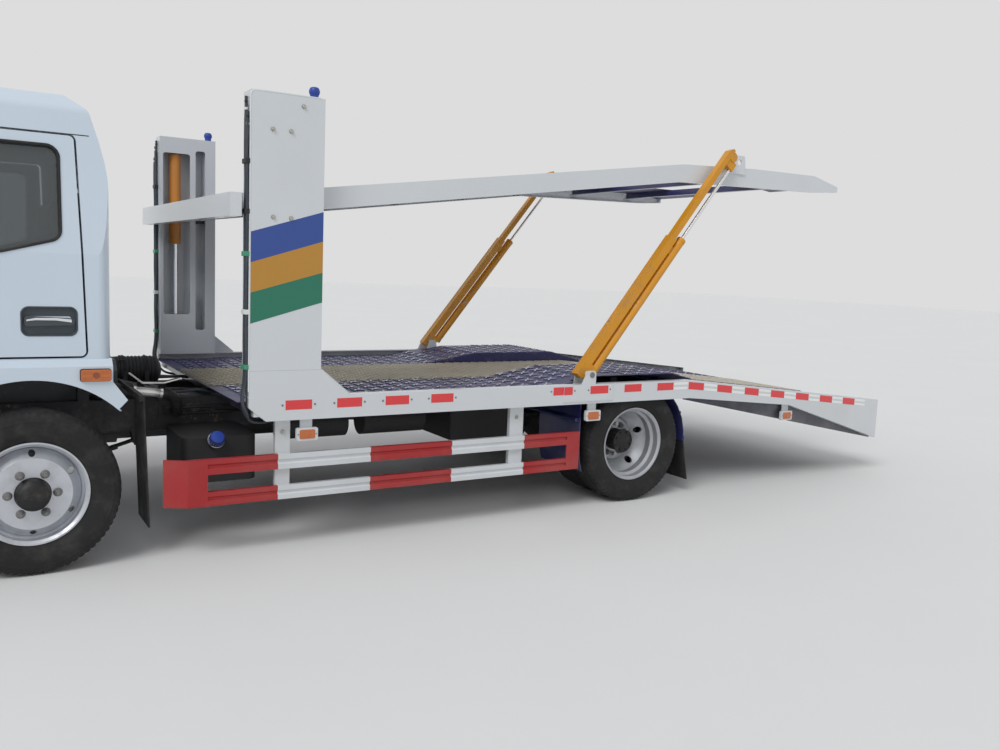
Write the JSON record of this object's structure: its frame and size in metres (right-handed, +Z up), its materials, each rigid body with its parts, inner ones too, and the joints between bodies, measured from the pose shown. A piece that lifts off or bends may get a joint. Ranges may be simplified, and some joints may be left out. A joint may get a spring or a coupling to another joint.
{
  "type": "car carrier truck",
  "caption": "Two-axle car carrier truck with tilting cab, sloping lower deck, lifting upper deck on slotted posts and telescopic struts, twin rear wheels and stowed ramps.",
  "frame": {"origin": "on the ground at the middle of the bounding box's underside", "axes": "+X forward, +Y to the truck's left, +Z up"},
  "size_m": [7.515, 2.62, 2.5529],
  "materials": {
    "cab_white": "gloss paint",
    "body_white": "gloss paint",
    "deck_blue": "satin paint",
    "frame_black": "satin paint",
    "guard_red": "gloss paint",
    "arm_yellow": "gloss paint",
    "cylinder_orange": "gloss paint",
    "chrome_rod": "polished",
    "wheel_silver": "silver paint",
    "steel_mesh": "galvanised",
    "ramp_steel": "galvanised",
    "axle_iron": "painted black",
    "spring_steel": "painted black",
    "engine_iron": "as cast",
    "tank_black": "matte",
    "tyre_rubber": "matte",
    "flap_rubber": "matte",
    "guard_blue": "gloss",
    "lamp_amber": "clear lens",
    "lamp_red": "clear lens",
    "lamp_clear": "clear lens",
    "cab_glazing": "tinted",
    "dash_plastic": "matte",
    "seat_cloth": "woven",
    "bumper_white": "gloss",
    "trim_black": "matte"
  },
  "bodies": {
    "root": {"chassis_frame": "frame_black", "front_axle": "axle_iron", "rear_axle": "axle_iron", "drivetrain": "engine_iron", "side_tanks": "tank_black", "exhaust": "ramp_steel", "lower_deck_frame": "body_white", "lower_tracks": "deck_blue", "lower_mesh": "steel_mesh", "gate_post_left": "body_white", "gate_post_right": "body_white", "lift_rods": "chrome_rod", "side_guard_left": "guard_red", "side_guard_right": "guard_red", "mudguards": "guard_blue", "mud_flaps": "flap_rubber", "marker_lamps": "lamp_amber", "tail_lamps": "lamp_red", "front_bumper": "bumper_white", "headlamps": "lamp_clear"},
    "cab": {"cab_shell": "cab_white", "cab_roof": "cab_white", "cab_glass": "cab_glazing", "dashboard": "dash_plastic", "seats": "seat_cloth", "steering_wheel": "trim_black", "grille": "trim_black", "mirrors": "trim_black"},
    "door_left": {"door_left": "cab_white", "door_glass_left": "cab_glazing"},
    "knuckle_left": {"knuckle_left": "axle_iron"},
    "wheel_front_left": {"tyre_front_left": "tyre_rubber", "rim_front_left": "wheel_silver"},
    "wheel_rear_left": {"tyre_rear_left": "tyre_rubber", "rim_rear_left": "wheel_silver"},
    "strut_outer_left": {"strut_sleeve_left": "arm_yellow"},
    "strut_inner_left": {"strut_arm_left": "arm_yellow", "strut_rod_left": "chrome_rod"},
    "ramp_left": {"ramp_left": "ramp_steel"},
    "door_right": {"door_right": "cab_white", "door_glass_right": "cab_glazing"},
    "knuckle_right": {"knuckle_right": "axle_iron"},
    "wheel_front_right": {"tyre_front_right": "tyre_rubber", "rim_front_right": "wheel_silver"},
    "wheel_rear_right": {"tyre_rear_right": "tyre_rubber", "rim_rear_right": "wheel_silver"},
    "strut_outer_right": {"strut_sleeve_right": "arm_yellow"},
    "strut_inner_right": {"strut_arm_right": "arm_yellow", "strut_rod_right": "chrome_rod"},
    "ramp_right": {"ramp_right": "ramp_steel"},
    "tie_rod": {"tie_rod": "axle_iron"},
    "carriage": {"lift_carriage": "frame_black", "lift_barrels": "cylinder_orange"},
    "upper_deck": {"upper_deck_frame": "body_white", "upper_tracks": "deck_blue"}
  },
  "joints": [
    {"name": "cab_tilt", "type": "hinge", "parent": "root", "child": "cab", "pos_m": [3.6375, 0, 0.7], "axis": [0, 1, 0], "range_deg": [0, 45]},
    {"name": "door_open_left", "type": "hinge", "parent": "cab", "child": "door_left", "pos_m": [3.4335, 1.056, 1.35], "axis": [0, 0, -1], "range_deg": [0, 68]},
    {"name": "door_open_right", "type": "hinge", "parent": "cab", "child": "door_right", "pos_m": [3.4335, -1.056, 1.35], "axis": [0, 0, 1], "range_deg": [0, 68]},
    {"name": "steer_left", "type": "hinge", "parent": "root", "child": "knuckle_left", "pos_m": [2.7075, 0.83, 0.413], "axis": [0, 0, 1], "range_deg": [-32, 32]},
    {"name": "steer_right", "type": "hinge", "parent": "root", "child": "knuckle_right", "pos_m": [2.7075, -0.83, 0.413], "axis": [0, 0, 1], "range_deg": [-32.1, 32.1]},
    {"name": "tie_rod_swing", "type": "hinge", "parent": "knuckle_left", "child": "tie_rod", "pos_m": [2.5275, 0.83, 0.295], "axis": [0, 0, 1], "range_deg": [-32.1, 32.1]},
    {"name": "wheel_spin_front_left", "type": "hinge", "parent": "knuckle_left", "child": "wheel_front_left", "pos_m": [2.7075, 1.025, 0.413], "axis": [0, 1, 0], "continuous": true},
    {"name": "wheel_spin_rear_left", "type": "hinge", "parent": "root", "child": "wheel_rear_left", "pos_m": [-1.0925, 0.9325, 0.413], "axis": [0, 1, 0], "continuous": true},
    {"name": "wheel_spin_front_right", "type": "hinge", "parent": "knuckle_right", "child": "wheel_front_right", "pos_m": [2.7075, -1.025, 0.413], "axis": [0, 1, 0], "continuous": true},
    {"name": "wheel_spin_rear_right", "type": "hinge", "parent": "root", "child": "wheel_rear_right", "pos_m": [-1.0925, -0.9325, 0.413], "axis": [0, 1, 0], "continuous": true},
    {"name": "upper_deck_lift", "type": "slide", "parent": "root", "child": "carriage", "axis": [0, 0, -1], "range_m": [0, 0.5]},
    {"name": "upper_deck_tilt", "type": "hinge", "parent": "carriage", "child": "upper_deck", "pos_m": [1.3835, 0, 1.923], "axis": [0, -1, 0], "range_deg": [0, 12.46]},
    {"name": "strut_swing_left", "type": "hinge", "parent": "root", "child": "strut_outer_left", "pos_m": [-0.6375, 1.15, 0.93], "axis": [0, -1, 0], "range_deg": [0, 36.36]},
    {"name": "strut_extend_left", "type": "slide", "parent": "strut_outer_left", "child": "strut_inner_left", "axis": [0.6243, 0, -0.7812], "range_m": [0, 0.66011]},
    {"name": "strut_swing_right", "type": "hinge", "parent": "root", "child": "strut_outer_right", "pos_m": [-0.6375, -1.15, 0.93], "axis": [0, -1, 0], "range_deg": [0, 36.36]},
    {"name": "strut_extend_right", "type": "slide", "parent": "strut_outer_right", "child": "strut_inner_right", "axis": [0.6243, 0, -0.7812], "range_m": [0, 0.66011]},
    {"name": "ramp_slide_left", "type": "slide", "parent": "root", "child": "ramp_left", "axis": [-0.9943, 0, -0.107], "range_m": [0, 1]},
    {"name": "ramp_slide_right", "type": "slide", "parent": "root", "child": "ramp_right", "axis": [-0.9943, 0, -0.107], "range_m": [0, 1]}
  ],
  "couplings": [
    {"joint": "steer_right", "follows": "steer_left", "ratio": 1},
    {"joint": "tie_rod_swing", "follows": "steer_left", "ratio": -1},
    {"joint": "upper_deck_tilt", "follows": "upper_deck_lift", "rad_per_m": 0.43145},
    {"joint": "strut_swing_left", "follows": "upper_deck_lift", "rad_per_m": 1.2656},
    {"joint": "strut_extend_left", "follows": "upper_deck_lift", "ratio": 1.3182},
    {"joint": "strut_swing_right", "follows": "upper_deck_lift", "rad_per_m": 1.2656},
    {"joint": "strut_extend_right", "follows": "upper_deck_lift", "ratio": 1.3182}
  ]
}
